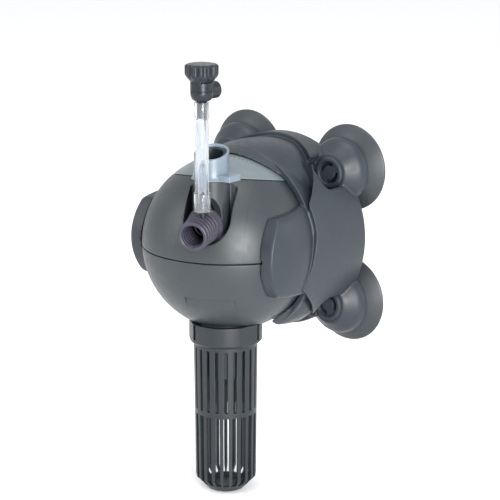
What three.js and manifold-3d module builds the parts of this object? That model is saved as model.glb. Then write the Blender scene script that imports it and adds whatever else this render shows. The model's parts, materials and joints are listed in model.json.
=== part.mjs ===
// Internal aquarium power filter: a ball-shaped pump that sits in a holder with four suction cups.
// Millimetres, +Z up. The origin is the centre of the four suction cups, on the glass.
// +Y points into the glass, -Y to the front of the filter.
import * as THREE from 'three';
import { mergeVertices } from 'three/addons/utils/BufferGeometryUtils.js';
import Module from 'manifold-3d';

const wasm = await Module();
wasm.setup();

// ---------- driving dimensions ----------
const gap = 0.3;                    // room left between two pieces that touch
const ballRadius = 42;
const ballToGlass = 53;             // ball centre to the glass
const ballLift = 1;                 // ball centre above the middle of the cups
const ballYaw = 22;                 // degrees that the ball is turned in its holder
const wall = 2.2;                   // casing wall
const seamZ = -1;                   // parting plane of the casing, from the ball centre
const seamGap = 0.4;

const cupSpacingX = 62;
const cupSpacingZ = 65;
const cupRadius = 20.9;
const cupLip = 1.4;                 // flat ring that meets the glass
const bossFront = 35.2;             // face of a cup boss, from the ball centre
const bossRear = 46.8;
const bossRadius = 15.6;
const bulbRadius = 9.6;             // part of a suction cup that its boss holds
const pocketRadius = 10.5;          // hollow that leaves each boss face in view
const pocketFront = 23;

const barrelRadius = 47.5;
const barrelInner = 41.5;
const barrelFront = 5.5;
const barrelRear = 44.5;
const scallopX = 44;                // half width and half length of the round cut in the barrel's
const scallopY = 45.6;              // front edge, where the top and bottom petals stand
const scallopCentreY = -9.1;
const shellRadius = 45.4;           // outside of the cup behind the ball
const shellFront = 7;
const backPlate = [36, 39];         // plate that ties the cup to the barrel
const rearBore = 27;
const holderInner = ballRadius + 0.6;
const petalSize = [46, 62.9, 45.8]; // half axes of the ellipsoid that the petals are cut from
const petalCentreY = 20;
const petalOutline = [38, 30];      // half axes of a petal's outline, seen from above
const petalOutlineY = 29.5;
const petalRear = 38;
const petalFoot = 19.5;
const padSize = [47.2, 52.5, 50];   // half axes of the ellipsoid that the side pads are cut from
const padHalfHeight = 18.5;
const padReach = 23;                // how far the side pads reach in front of the ball centre
const padRear = 9;
const padLift = 0.5;
const strainerSlot = 23.8;          // half width of the gap that the strainer swings in
const strainerSlotRear = 34;

const capTilt = 11.3;               // degrees that the scale plate leans back
const capPlane = 30.4;              // plane of its lower edge, from the ball centre
const capThickness = 0.7;

const columnY = -28.5;              // axis of the outlet column
const columnRadius = 8.1;
const columnBore = 6.6;
const columnTop = 36.2;
const footRadius = 9.6;             // flared foot of the regulator sleeve
const regulatorTop = 51.5;
const regulatorSlope = 17;          // degrees that its rim slopes down to the front
const regulatorWindow = 4;          // radius of the window that meets the nozzle
const pointerTurn = -20;
const channelHalfWidth = 11.2;
const channelBottomZ = 19;          // centre of the round bottom of the channel
const channelFloor = -24.5;
const channelWall = 1.8;

const nozzleZ = 16.5;
const nozzleBase = 37.7;
const nozzleLength = 17.3;
const nozzleRings = 6;
const nozzleDroop = 6.5;            // degrees that the bellows hangs down
const nozzleTurn = -3;              // degrees that it points to the left
const spigotRadius = 5;
const spigotBore = 3.9;

const tubeX = 1.2;
const tubeY = -46;
const tubeBottom = 24.9;
const tubeTop = 74.8;
const tubeRadius = 3;
const tubeBore = 2.1;
const barbRadius = 1.8;

const valveTop = tubeTop + 9;
const valveRadius = 5.1;
const knobRadius = 7.6;
const knobBottom = valveTop + 0.4;
const knobTop = knobBottom + 9;
const knobFlutes = 12;
const sidePortTurn = 60;
const sidePortLift = 5;              // above the top of the tube
const needleRadius = 1.1;
const needleTop = knobTop - 3.4;

const strainerY = -8;
const collarRadius = 17.5;
const seatZ = -36;                  // flat seat under the ball
const seatRadius = 18;
const collarTop = seatZ - gap;
const collarBottom = -46.6;
const basketRadius = 15.2;
const basketEndRadius = 14.4;
const basketWall = 1.5;
const basketBottom = -120;
const basketSlots = 21;
const slotWidth = 2.5;
const slotRows = [[-79, -48.6], [-116.6, -82]];

const neckRadius = 13;
const neckBore = 11;

const sealRadius = 40;
const sealSection = 0.7;
const sealGrooveSection = 1;
const rim = ballRadius - wall - 1.6; // the casing's rim is thicker, to take the seal
const glandZ = 10;
const glandRadius = 4.2;

const plateRadius = 37.8;           // plate with the rotor's well, across the casing
const plateLow = -3.6;
const plateHigh = -1.6;
const wellRadius = 9.2;
const wellTop = 22;
const screwPlaces = [[-30, 8], [30, 8], [0, 33]];
const coreLegX = 12.6;
const shaftRadius = 1.2;
const magnetRadius = 7.6;
const wheelRadius = 12;
const vanes = 6;
const chamberRadius = 17;           // impeller chamber
const chamberBore = 15.5;
const chamberLow = -19;

const round = 28;                   // sides of a large round piece
const fine = 16;                    // sides of a small one

// ---------- geometry helpers ----------
const point = (x, y) => new THREE.Vector2(x, y);
const radians = (degrees) => THREE.MathUtils.degToRad(degrees);

function signedVolume(positions, triangles) {
  const [a, b, c] = [new THREE.Vector3(), new THREE.Vector3(), new THREE.Vector3()];
  let volume = 0;
  for (let i = 0; i < triangles.length; i += 3) {
    a.fromArray(positions, 3 * triangles[i]);
    b.fromArray(positions, 3 * triangles[i + 1]);
    c.fromArray(positions, 3 * triangles[i + 2]);
    volume += a.dot(b.cross(c));
  }
  return volume;
}

// A closed geometry as a solid, with its faces pointing out.
function solid(geometry) {
  geometry.deleteAttribute('normal');
  geometry.deleteAttribute('uv');
  const merged = mergeVertices(geometry, 1e-4);
  const index = merged.index.array;
  const triangles = [];
  for (let i = 0; i < index.length; i += 3) {
    const [a, b, c] = index.slice(i, i + 3);
    if (a !== b && b !== c && c !== a) {
      triangles.push(a, b, c);
    }
  }
  const positions = merged.attributes.position.array;
  if (signedVolume(positions, triangles) < 0) {
    triangles.reverse();
  }
  const mesh = new wasm.Mesh({
    numProp: 3,
    vertProperties: new Float32Array(positions),
    triVerts: new Uint32Array(triangles),
  });
  return new wasm.Manifold(mesh);
}

function arc(centreX, centreY, radius, from, to, steps) {
  const points = [];
  for (let i = 0; i <= steps; i += 1) {
    const angle = radians(from + ((to - from) * i) / steps);
    points.push(point(centreX + radius * Math.cos(angle), centreY + radius * Math.sin(angle)));
  }
  return points;
}

// A profile of radius and height, turned round the vertical axis.
function spin(profile, sides = round) {
  return solid(new THREE.LatheGeometry(profile, sides).rotateX(Math.PI / 2));
}

// The same round the axis that points into the glass; the height becomes +Y.
function spinY(profile, sides = round) {
  return solid(new THREE.LatheGeometry(profile, sides));
}

function rod(radius, low, high, sides = fine) {
  return spin([point(0, low), point(radius, low), point(radius, high), point(0, high)], sides);
}

function rodY(radius, low, high, sides = fine) {
  return spinY([point(0, low), point(radius, low), point(radius, high), point(0, high)], sides);
}

function pipe(outer, inner, low, high, sides = fine) {
  const profile = [point(inner, low), point(outer, low), point(outer, high), point(inner, high)];
  return spin([...profile, profile[0]], sides);
}

function ball(radius, sides = round) {
  return solid(new THREE.SphereGeometry(radius, sides, sides / 2).rotateX(Math.PI / 2));
}

function box(low, high) {
  const size = high.map((value, i) => value - low[i]);
  const centre = high.map((value, i) => (value + low[i]) / 2);
  return solid(new THREE.BoxGeometry(...size).translate(...centre));
}

// An outline of x and z, extruded from y = back towards the front.
function slab(outline, back, depth, steps = 10) {
  const geometry = new THREE.ExtrudeGeometry(outline, {
    depth,
    bevelEnabled: false,
    curveSegments: steps,
  });
  return solid(geometry.rotateX(Math.PI / 2).translate(0, back, 0));
}

function place(shape, x, y, z) {
  return shape.translate([x, y, z]);
}

// ---------- the assembly ----------
const filter = new THREE.Group();
const holderGroup = new THREE.Group();
holderGroup.position.set(0, -ballToGlass, ballLift);
const pumpGroup = new THREE.Group();
pumpGroup.position.copy(holderGroup.position);
pumpGroup.rotation.z = radians(ballYaw);
filter.add(holderGroup, pumpGroup);

const finishes = {
  holder: { color: 0x4b545c, roughness: 0.55, metalness: 0 },
  casing: { color: 0x565d60, roughness: 0.6, metalness: 0 },
  cap: { color: 0xa9b7c0, roughness: 0.45, metalness: 0 },
  rubber: { color: 0x3c444c, roughness: 0.5, metalness: 0 },
  bellows: { color: 0x4a4650, roughness: 0.55, metalness: 0 },
  dark: { color: 0x30353b, roughness: 0.45, metalness: 0 },
  clear: { color: 0xdfe6e8, roughness: 0.1, metalness: 0 },
  steel: { color: 0xb0b4b8, roughness: 0.3, metalness: 1 },
  ceramic: { color: 0xe8e6df, roughness: 0.3, metalness: 0 },
  magnet: { color: 0x3b3a3c, roughness: 0.5, metalness: 0.3 },
  copper: { color: 0x9a5a32, roughness: 0.4, metalness: 0.8 },
  impeller: { color: 0xd8dbe0, roughness: 0.5, metalness: 0 },
};

function add(name, shape, finish, group) {
  const mesh = shape.getMesh();
  const geometry = new THREE.BufferGeometry();
  const count = mesh.vertProperties.length / mesh.numProp;
  const positions = new Float32Array(3 * count);
  for (let i = 0; i < count; i += 1) {
    for (let k = 0; k < 3; k += 1) {
      positions[3 * i + k] = mesh.vertProperties[mesh.numProp * i + k];
    }
  }
  geometry.setAttribute('position', new THREE.BufferAttribute(positions, 3));
  geometry.setIndex(new THREE.BufferAttribute(new Uint32Array(mesh.triVerts), 1));
  geometry.computeVertexNormals();
  const node = new THREE.Mesh(geometry, new THREE.MeshStandardMaterial(finishes[finish]));
  node.name = name;
  group.add(node);
}

// ---------- holder: barrel, cup with four petals, four bosses ----------
const cupCentres = [];
for (const sideX of [-1, 1]) {
  for (const sideZ of [-1, 1]) {
    cupCentres.push([(sideX * cupSpacingX) / 2, (sideZ * cupSpacingZ) / 2 - ballLift]);
  }
}

// An upright cylinder with an elliptical outline.
function ellipticRod(halfX, halfY, centreY) {
  const cylinder = new THREE.CylinderGeometry(1, 1, 120, 28).rotateX(Math.PI / 2);
  return solid(cylinder.scale(halfX, halfY, 1).translate(0, centreY, 0));
}

function ellipsoid([halfX, halfY, halfZ], centreY, sides = 24) {
  const shape = new THREE.SphereGeometry(1, sides, sides / 2).rotateX(Math.PI / 2);
  return solid(shape.scale(halfX, halfY, halfZ).translate(0, centreY, 0));
}

function barrel() {
  const ring = spinY([
    point(barrelInner, barrelFront),
    point(barrelRadius - 0.6, barrelFront),
    point(barrelRadius, barrelFront + 5),
    point(barrelRadius, 30),
    point(barrelRadius - 0.7, 40),
    point(barrelRadius - 2, barrelRear),
    point(barrelInner, barrelRear),
    point(barrelInner, barrelFront),
  ], 32);
  return ring.subtract(ellipticRod(scallopX, scallopY, scallopCentreY));
}

function petalCup() {
  const shell = ball(shellRadius).subtract(box([-60, -60, -60], [60, shellFront, 60]));
  const outline = ellipticRod(...petalOutline, petalOutlineY);
  const petals = ellipsoid(petalSize, petalCentreY, 28)
    .intersect(outline.add(box([-34, petalOutlineY, -60], [34, petalRear, 60])))
    .subtract(box([-60, -60, -petalFoot], [60, 60, petalFoot]))
    .subtract(box([-60, petalRear, -60], [60, 90, 60]));
  return shell.add(petals);
}

// A pad wraps the ball's side, thicker towards its front edge, with a rounded outline.
function sidePads() {
  const outline = new THREE.Shape();
  outline.moveTo(padRear, padHalfHeight);
  outline.lineTo(-padReach + 9, padHalfHeight - 1);
  outline.quadraticCurveTo(-padReach - 5, 0, -padReach + 9, -padHalfHeight + 1);
  outline.lineTo(padRear, -padHalfHeight);
  outline.closePath();
  const side = new THREE.ExtrudeGeometry(outline, {
    depth: 120,
    bevelEnabled: false,
    curveSegments: 6,
  });
  // The outline's x becomes +Y, its y becomes +Z, and the depth runs along X.
  side.rotateX(Math.PI / 2).rotateZ(Math.PI / 2).translate(-60, 0, padLift);
  return ellipsoid(padSize, 1).intersect(solid(side));
}

function boss() {
  return spinY([
    point(0, bossFront),
    point(7.8, bossFront),
    point(8.4, bossFront + 0.6),
    point(14, bossFront + 6.2),
    point(15.3, bossFront + 8.4),
    point(bossRadius, bossRear - 1),
    point(bossRadius - 0.6, bossRear),
    point(0, bossRear),
  ], 18);
}

// Two arc slots through the boss face, and the hollow that takes the cup's bulb.
function bossHollow(mirror) {
  let hollow = rodY(bulbRadius + 0.4, bossFront + 3, bossRear + 1);
  for (const start of [20, 200]) {
    const outline = new THREE.Shape();
    outline.absarc(0, 0, 5, radians(start), radians(start + 130), false);
    outline.absarc(0, 0, 3.6, radians(start + 130), radians(start), true);
    outline.closePath();
    const slot = slab(outline, bossFront + 4, 5);
    hollow = hollow.add(mirror ? slot.mirror([0, 0, 1]) : slot);
  }
  return hollow;
}

let holder = barrel().add(petalCup()).add(sidePads());
for (const [x, z] of cupCentres) {
  holder = holder.subtract(place(rodY(pocketRadius, pocketFront, backPlate[1] - 1), x, 0, z));
}
holder = holder.add(rodY(barrelInner + 1, ...backPlate, 32));
holder = holder.subtract(rodY(rearBore, 20, 60, round));
holder = holder.subtract(box([-strainerSlot, -60, -60], [strainerSlot, strainerSlotRear, 0]));
for (const [x, z] of cupCentres) {
  holder = holder.add(place(boss(), x, 0, z));
}
holder = holder.subtract(ball(holderInner));
for (const [x, z] of cupCentres) {
  holder = holder.subtract(place(bossHollow(z < 0), x, 0, z));
}
add('holder', holder, 'holder', holderGroup);

function suctionCup() {
  const glass = ballToGlass;
  return spinY([
    point(0, bossFront + 4.5),
    point(bulbRadius - 0.4, bossFront + 4.5),
    point(bulbRadius, bossRear - 2),
    point(bulbRadius, bossRear + gap),
    point(13, bossRear + gap),
    point(14.2, bossRear + 1.2),
    point(17.4, glass - 3),
    point(cupRadius, glass - 0.6),
    point(cupRadius, glass),
    point(cupRadius - cupLip, glass),
    point(16, glass - 2),
    point(10, glass - 3.6),
    point(0, glass - 3.8),
  ], 20);
}

const cupNames = ['left_bottom', 'left_top', 'right_bottom', 'right_top'];
cupCentres.forEach(([x, z], i) => {
  add(`suction_cup_${cupNames[i]}`, place(suctionCup(), x, 0, z), 'rubber', holderGroup);
});

// ---------- casing of the pump ----------
function channelOutline(halfWidth) {
  const outline = new THREE.Shape();
  outline.moveTo(halfWidth, 50);
  outline.lineTo(-halfWidth, 50);
  outline.lineTo(-halfWidth, channelBottomZ);
  outline.absarc(0, channelBottomZ, halfWidth, Math.PI, 2 * Math.PI, false);
  outline.closePath();
  return outline;
}

// Everything above the leaning plane that bounds the scale plate.
function aboveCapPlane(offset) {
  const block = new THREE.BoxGeometry(120, 120, 60).translate(0, 0, capPlane + offset + 30);
  return solid(block.rotateX(radians(-capTilt)));
}

const sealGroove = spin(arc(sealRadius, seamZ, sealGrooveSection, 0, 360, 8));

function glandHole(radius) {
  return place(rodY(radius, 34, 46), 0, 0, glandZ);
}

const channelVoid = slab(channelOutline(channelHalfWidth), channelFloor, 40);

function upperShell() {
  const low = seamZ + seamGap / 2;
  const startAngle = THREE.MathUtils.radToDeg(Math.asin(low / ballRadius));
  let shell = spin([
    ...arc(0, 0, ballRadius, startAngle, 90, 8),
    ...arc(0, 0, ballRadius - wall, 90, 5, 6),
    point(rim, 3),
    point(rim, low),
    point(ballRadius * Math.cos(radians(startAngle)), low),
  ]);
  const channelBlock = slab(
    channelOutline(channelHalfWidth + channelWall),
    channelFloor + channelWall,
    30,
  );
  const recess = ball(ballRadius + 2).subtract(ball(ballRadius - capThickness - gap));
  shell = shell.add(channelBlock.intersect(ball(ballRadius - 0.05))).subtract(channelVoid);
  shell = shell.subtract(recess.intersect(aboveCapPlane(-0.15)));
  const column = place(rod(columnRadius, low, columnTop), 0, columnY, 0);
  const spigot = place(rodY(spigotRadius, -nozzleBase - 4, columnY), 0, 0, nozzleZ);
  shell = shell.add(column).add(spigot);
  shell = shell.subtract(place(rod(columnBore, low - 1, columnTop + 1), 0, columnY, 0));
  shell = shell.subtract(place(rodY(spigotBore, -nozzleBase - 5, columnY), 0, 0, nozzleZ));
  return shell.subtract(sealGroove).subtract(glandHole(glandRadius + gap));
}

function lowerShell() {
  const high = seamZ - seamGap / 2;
  const startAngle = THREE.MathUtils.radToDeg(Math.asin(high / ballRadius));
  let shell = spin([
    ...arc(0, 0, ballRadius, startAngle, -90, 8),
    ...arc(0, 0, ballRadius - wall, -90, -8, 6),
    point(rim, -5),
    point(rim, high),
    point(ballRadius * Math.cos(radians(startAngle)), high),
  ]);
  // The finger notch in front: a flat face with a ledge over it.
  shell = shell.subtract(box([-12, -50, -24.5], [12, -34.6, -19.9]));
  // A round seat under the ball takes the strainer; its neck stands in the middle.
  const seat = place(rod(seatRadius + 2, -44, seatZ + wall, round), 0, strainerY, 0);
  shell = shell.add(seat.intersect(ball(ballRadius - 0.05)));
  shell = shell.subtract(place(rod(seatRadius, -60, seatZ, round), 0, strainerY, 0));
  shell = shell.add(place(rod(neckRadius, collarBottom + 2, seatZ + 1), 0, strainerY, 0));
  shell = shell.subtract(place(rod(neckBore, collarBottom, -30), 0, strainerY, 0));
  return shell.subtract(sealGroove);
}

function scalePlate() {
  const skin = ball(ballRadius).subtract(ball(ballRadius - capThickness));
  const opening = slab(channelOutline(channelHalfWidth + gap), channelFloor + gap, 40);
  const sleeveFoot = place(rod(footRadius + gap, 0, 60), 0, columnY, 0);
  return skin.intersect(aboveCapPlane(0.15)).subtract(opening).subtract(sleeveFoot);
}

add('upper_shell', upperShell(), 'casing', pumpGroup);
add('lower_shell', lowerShell(), 'casing', pumpGroup);
add('scale_plate', scalePlate(), 'cap', pumpGroup);
const seal = spin(arc(sealRadius, seamZ, sealSection, 0, 360, 6));
add('seam_seal', seal, 'rubber', pumpGroup);

const gland = place(rodY(glandRadius, 35.5, 44), 0, 0, glandZ)
  .intersect(ball(ballRadius - 0.1))
  .subtract(place(rodY(1.9, 34, 46), 0, 0, glandZ));
add('cable_gland', gland, 'rubber', pumpGroup);

// ---------- flow regulator: a sleeve that turns in the outlet column ----------
function regulatorSleeve() {
  const foot = columnTop + gap;
  const skirt = columnBore - gap;
  let sleeve = spin([
    point(skirt - 1.1, 8),
    point(skirt, 8),
    point(skirt, foot),
    point(footRadius, foot),
    point(footRadius - 0.2, foot + 1.2),
    point(8.4, foot + 3),
    point(8.1, foot + 6),
    point(8.1, regulatorTop),
    point(6.9, regulatorTop),
    point(6.9, foot + 2.5),
    point(skirt - 1.1, foot + 1),
    point(skirt - 1.1, 8),
  ], 20);
  // The rim slopes down towards the front.
  const above = new THREE.BoxGeometry(40, 40, 20).translate(0, 0, 10);
  above.rotateX(radians(regulatorSlope)).translate(0, 0, regulatorTop - 2.6);
  sleeve = sleeve.subtract(solid(above));
  const tab = new THREE.Shape();
  tab.moveTo(0, -5.5);
  tab.lineTo(12.6, -4);
  tab.lineTo(13.6, 0);
  tab.lineTo(11, 4.5);
  tab.lineTo(0, 6);
  tab.closePath();
  const ledge = new THREE.ExtrudeGeometry(tab, { depth: 2.6, bevelEnabled: false });
  ledge.translate(0, 0, foot);
  const pointer = solid(ledge).subtract(rod(8, foot - 1, foot + 5, 32));
  sleeve = sleeve.add(pointer.rotate([0, 0, pointerTurn]));
  // The window in the skirt meets the nozzle when the sleeve is fully open.
  return sleeve.subtract(place(rodY(regulatorWindow, -12, 0), 0, 0, nozzleZ));
}
add('regulator_sleeve', place(regulatorSleeve(), 0, columnY, 0), 'cap', pumpGroup);

// ---------- nozzle bellows, air tube and air valve ----------
function bellows() {
  const outer = [];
  const inner = [];
  const pitch = (nozzleLength - 2) / nozzleRings;
  for (let i = 0; i <= 2 * nozzleRings; i += 1) {
    const along = -2 - (i * pitch) / 2;
    const crest = 8 - (0.7 * i) / (2 * nozzleRings);
    const radius = i % 2 === 0 ? crest - 1.1 : crest;
    outer.push(point(radius, along));
    inner.unshift(point(radius - 1.3, along));
  }
  const flange = [point(5.8, 0), point(8.5, 0), point(8.5, -1.6)];
  return spinY([...flange, ...outer, ...inner, flange[0]], 16);
}

const nozzle = bellows()
  .rotate([nozzleDroop, 0, nozzleTurn])
  .translate([0, -nozzleBase, nozzleZ])
  .subtract(place(rod(barbRadius + gap, nozzleZ, nozzleZ + 14), tubeX, tubeY, 0));
add('nozzle_bellows', nozzle, 'bellows', pumpGroup);

const barb = pipe(barbRadius, 0.9, nozzleZ + 3, tubeBottom + 8, 16);
add('air_barb', place(barb, tubeX, tubeY, 0), 'dark', pumpGroup);
const tube = pipe(tubeRadius, tubeBore, tubeBottom, tubeTop, fine);
add('air_tube', place(tube, tubeX, tubeY, 0), 'clear', pumpGroup);
const tubeSleeve = pipe(tubeRadius + 0.9, tubeRadius + gap, tubeBottom, tubeBottom + 8.4, fine);
add('tube_sleeve', place(tubeSleeve, tubeX, tubeY, 0), 'clear', pumpGroup);

function valveBody() {
  const stem = [point(0, tubeTop - 7), point(barbRadius, tubeTop - 7)];
  let body = spin([
    ...stem,
    point(barbRadius, tubeTop + gap),
    point(valveRadius - 0.8, tubeTop + gap),
    point(valveRadius, tubeTop + 1.2),
    point(valveRadius, valveTop - 1),
    point(valveRadius - 0.8, valveTop),
    point(0, valveTop),
  ], 24);
  const port = new THREE.CylinderGeometry(3.4, 3.6, 9, 20).rotateZ(-Math.PI / 2);
  port.translate(4.4, 0, tubeTop + sidePortLift).rotateZ(radians(sidePortTurn));
  const bore = new THREE.CylinderGeometry(1.2, 1.2, 12, 12).rotateZ(-Math.PI / 2);
  bore.translate(6, 0, tubeTop + sidePortLift).rotateZ(radians(sidePortTurn));
  body = body.add(solid(port)).subtract(solid(bore));
  body = body.subtract(rod(0.9, tubeTop - 8, tubeTop, 12));
  return body.subtract(rod(needleRadius + gap, tubeTop - 0.5, valveTop + 1, 16));
}
add('valve_body', place(valveBody(), tubeX, tubeY, 0), 'dark', pumpGroup);

const needle = spin([
  point(0, tubeTop + 0.6),
  point(0.3, tubeTop + 0.6),
  point(needleRadius, tubeTop + 3),
  point(needleRadius, needleTop),
  point(0, needleTop),
], 16);
add('valve_needle', place(needle, tubeX, tubeY, 0), 'steel', pumpGroup);

function valveKnob() {
  const outline = new THREE.Shape();
  const steps = knobFlutes * 4;
  for (let i = 0; i < steps; i += 1) {
    const angle = (2 * Math.PI * i) / steps;
    const radius = knobRadius - 0.45 + 0.45 * Math.cos(knobFlutes * angle);
    outline[i === 0 ? 'moveTo' : 'lineTo'](radius * Math.cos(angle), radius * Math.sin(angle));
  }
  outline.closePath();
  const grip = new THREE.ExtrudeGeometry(outline, {
    depth: knobTop - knobBottom - 3.2,
    bevelEnabled: true,
    bevelThickness: 0.7,
    bevelSize: 0.6,
    bevelOffset: -0.6,
    bevelSegments: 1,
  });
  grip.translate(0, 0, knobBottom + 2.5);
  const stem = rod(4.2, knobBottom, knobBottom + 3);
  const knob = solid(grip).add(stem);
  return knob.subtract(rod(needleRadius + gap, knobBottom - 1, knobTop - 2.2, 16));
}
add('valve_knob', place(valveKnob(), tubeX, tubeY, 0), 'dark', pumpGroup);

// ---------- strainer ----------
function strainerCollar() {
  let collar = pipe(collarRadius, basketRadius + gap, collarBottom + 0.8, collarTop, round);
  const foot = spin([
    point(basketRadius + gap, collarBottom),
    point(collarRadius - 1.2, collarBottom),
    point(collarRadius, collarBottom + 1.2),
    point(basketRadius + gap, collarBottom + 1.2),
    point(basketRadius + gap, collarBottom),
  ], round);
  collar = collar.add(foot);
  // Two narrow slots let the collar's latches flex.
  for (const side of [-1, 1]) {
    const slot = box([side * 15.4 - 0.8, -20, collarBottom + 3], [side * 15.4 + 0.8, 0, -20]);
    collar = collar.subtract(slot);
  }
  return place(collar, 0, strainerY, 0);
}
add('strainer_collar', strainerCollar(), 'dark', pumpGroup);

function strainerBasket() {
  const low = basketBottom;
  let basket = spin([
    point(0, low),
    point(8.5, low),
    point(basketEndRadius, low + 6),
    point(basketRadius, collarBottom - 0.6),
    point(basketRadius, collarBottom + 8),
    point(basketRadius - basketWall, collarBottom + 8),
    point(basketRadius - basketWall, collarBottom - 0.6),
    point(basketEndRadius - basketWall, low + 6.5),
    point(7.6, low + 1.4),
    point(0, low + 1.4),
  ], 18);
  for (const [bottom, top] of slotRows) {
    for (let i = 0; i < basketSlots; i += 1) {
      const slot = box([9, -slotWidth / 2, bottom], [18, slotWidth / 2, top]);
      basket = basket.subtract(slot.rotate([0, 0, (360 * (i + 0.5)) / basketSlots]));
    }
  }
  return basket;
}
add('strainer_basket', place(strainerBasket(), 0, strainerY, 0), 'dark', pumpGroup);

// ---------- pump inside the casing, on the ball's vertical axis ----------
function rotorWellPlate() {
  let plate = rod(plateRadius, plateLow, plateHigh, round);
  plate = plate.add(rod(wellRadius, plateHigh - 0.5, wellTop, fine));
  plate = plate.subtract(rod(wellRadius - 1, plateLow - 1, wellTop - 1.2, fine));
  plate = plate.subtract(place(rod(columnRadius + gap, -10, 5), 0, columnY, 0));
  for (const [x, y] of screwPlaces) {
    plate = plate.subtract(place(rod(1.9, -10, 5, 12), x, y, 0));
  }
  return plate;
}
add('rotor_well_plate', rotorWellPlate(), 'dark', pumpGroup);

screwPlaces.forEach(([x, y], i) => {
  const screw = rod(2.8, plateLow - 2, plateLow - gap, 16).add(rod(1.5, plateLow - 1, 6, 12));
  add(`plate_screw_${i + 1}`, place(screw, x, y, 0), 'steel', pumpGroup);
});

function statorCore() {
  const core = box([-15.6, -9, 2], [15.6, 30, 16]);
  return core.subtract(box([-coreLegX + 3, -10, 0], [coreLegX - 3, 24, 20]));
}
add('stator_core', statorCore(), 'steel', pumpGroup);
for (const [name, side] of [['left', -1], ['right', 1]]) {
  const x = side * coreLegX;
  const coil = box([x - 5.6, 12.5, -0.8], [x + 5.6, 23.4, 18.8])
    .subtract(box([x - 3.3, 0, 1.7], [x + 3.3, 30, 16.3]));
  add(`stator_coil_${name}`, coil, 'copper', pumpGroup);
}

add('rotor_magnet', pipe(magnetRadius, 2.6, -1, 18, fine), 'magnet', pumpGroup);

function impeller() {
  let wheel = pipe(2.3, shaftRadius + gap, -17, 17.5, 16);
  wheel = wheel.add(pipe(wheelRadius, shaftRadius + gap, -7.4, -6, 20));
  for (let i = 0; i < vanes; i += 1) {
    const vane = box([1.9, -0.6, -15.5], [wheelRadius, 0.6, -7]);
    wheel = wheel.add(vane.rotate([0, 0, (360 * i) / vanes]));
  }
  return wheel;
}
add('impeller', impeller(), 'impeller', pumpGroup);
add('pump_shaft', rod(shaftRadius, -20, 20.2, 16), 'ceramic', pumpGroup);
add('upper_bush', pipe(4, shaftRadius + gap, 18.6, 20.4, 16), 'rubber', pumpGroup);
add('lower_bush', pipe(2.6, shaftRadius + gap, -20.4, -17.6, 16), 'rubber', pumpGroup);

function impellerHousing() {
  let housing = pipe(chamberRadius, chamberBore, chamberLow, plateLow - gap, 24);
  const duct = box([-6.4, -27, -13.5], [6.4, -14, plateLow - gap]);
  housing = housing.add(duct.subtract(rod(chamberBore, chamberLow - 1, 0, 24)));
  const ductEnd = place(rod(6.2, -13.5, 6.5), 0, columnY, 0);
  housing = housing.add(ductEnd);
  housing = housing.subtract(place(rod(4.8, -12, 8), 0, columnY, 0));
  return housing.subtract(box([-4.8, -27, -12], [4.8, -10, plateLow - 1.6]));
}
add('impeller_housing', impellerHousing(), 'dark', pumpGroup);

function inletPlate() {
  const low = chamberLow - 1.8;
  const high = chamberLow - gap;
  let plate = pipe(chamberRadius, 9, low, high, 24).add(pipe(4, 2.9, low, high + 1.8, 16));
  for (let i = 0; i < 3; i += 1) {
    const spoke = box([3.4, -0.9, low], [9.6, 0.9, high]);
    plate = plate.add(spoke.rotate([0, 0, 120 * i]));
  }
  return plate;
}
add('inlet_plate', inletPlate(), 'dark', pumpGroup);

export default filter;
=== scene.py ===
"""Looks of the internal power filter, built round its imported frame.

Shapes are written in millimetres from the ball's centre, as signed distances that are
negative inside. Pump shapes use the ball's own frame, whose -Y is the ball's front.
"""
import json
import math

import bmesh
import bpy
import numpy as np
import openvdb
from mathutils import Matrix, Vector


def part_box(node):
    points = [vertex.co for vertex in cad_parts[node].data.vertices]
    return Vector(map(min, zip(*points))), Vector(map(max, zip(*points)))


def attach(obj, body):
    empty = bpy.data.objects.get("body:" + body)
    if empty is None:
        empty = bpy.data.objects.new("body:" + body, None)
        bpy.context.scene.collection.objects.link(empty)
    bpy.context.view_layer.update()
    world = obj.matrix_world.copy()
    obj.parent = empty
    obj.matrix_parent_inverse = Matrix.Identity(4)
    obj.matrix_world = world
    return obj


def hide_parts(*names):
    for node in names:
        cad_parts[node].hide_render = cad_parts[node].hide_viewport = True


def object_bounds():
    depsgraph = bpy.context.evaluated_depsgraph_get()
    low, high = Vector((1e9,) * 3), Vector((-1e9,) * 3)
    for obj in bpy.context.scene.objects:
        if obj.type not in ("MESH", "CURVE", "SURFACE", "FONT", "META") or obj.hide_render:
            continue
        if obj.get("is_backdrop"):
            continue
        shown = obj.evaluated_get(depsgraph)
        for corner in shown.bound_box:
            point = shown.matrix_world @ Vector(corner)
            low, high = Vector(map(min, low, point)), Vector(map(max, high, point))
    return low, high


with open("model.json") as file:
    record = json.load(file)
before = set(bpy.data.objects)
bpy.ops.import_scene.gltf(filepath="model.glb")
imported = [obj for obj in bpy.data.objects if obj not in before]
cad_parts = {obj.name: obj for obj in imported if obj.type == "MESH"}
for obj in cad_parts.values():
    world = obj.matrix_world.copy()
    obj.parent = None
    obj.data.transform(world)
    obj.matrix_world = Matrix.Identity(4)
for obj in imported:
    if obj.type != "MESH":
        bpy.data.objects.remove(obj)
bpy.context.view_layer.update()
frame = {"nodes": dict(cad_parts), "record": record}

# ---------- places, read from the frame ----------
MM = 0.001
joints = {j["name"]: j for j in frame["record"]["behaviour"]["joints"]}


def joint_place(name):
    return Vector(joints[name]["pos_m"]) / MM


BALL = joint_place("ball_tilt")
column = joint_place("regulator_turn") - BALL
YAW = math.atan2(column.x, -column.y)
COLUMN_Y = -math.hypot(column.x, column.y)
strainer = joint_place("strainer_twist") - BALL
STRAINER_Y = -math.hypot(strainer.x, strainer.y)
tube = Matrix.Rotation(-YAW, 3, "Z") @ (joint_place("valve_swivel") - BALL)
TUBE_X, TUBE_Y = tube.x, tube.y
NOZZLE_Z = (joint_place("nozzle_swivel") - BALL).z


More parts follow.
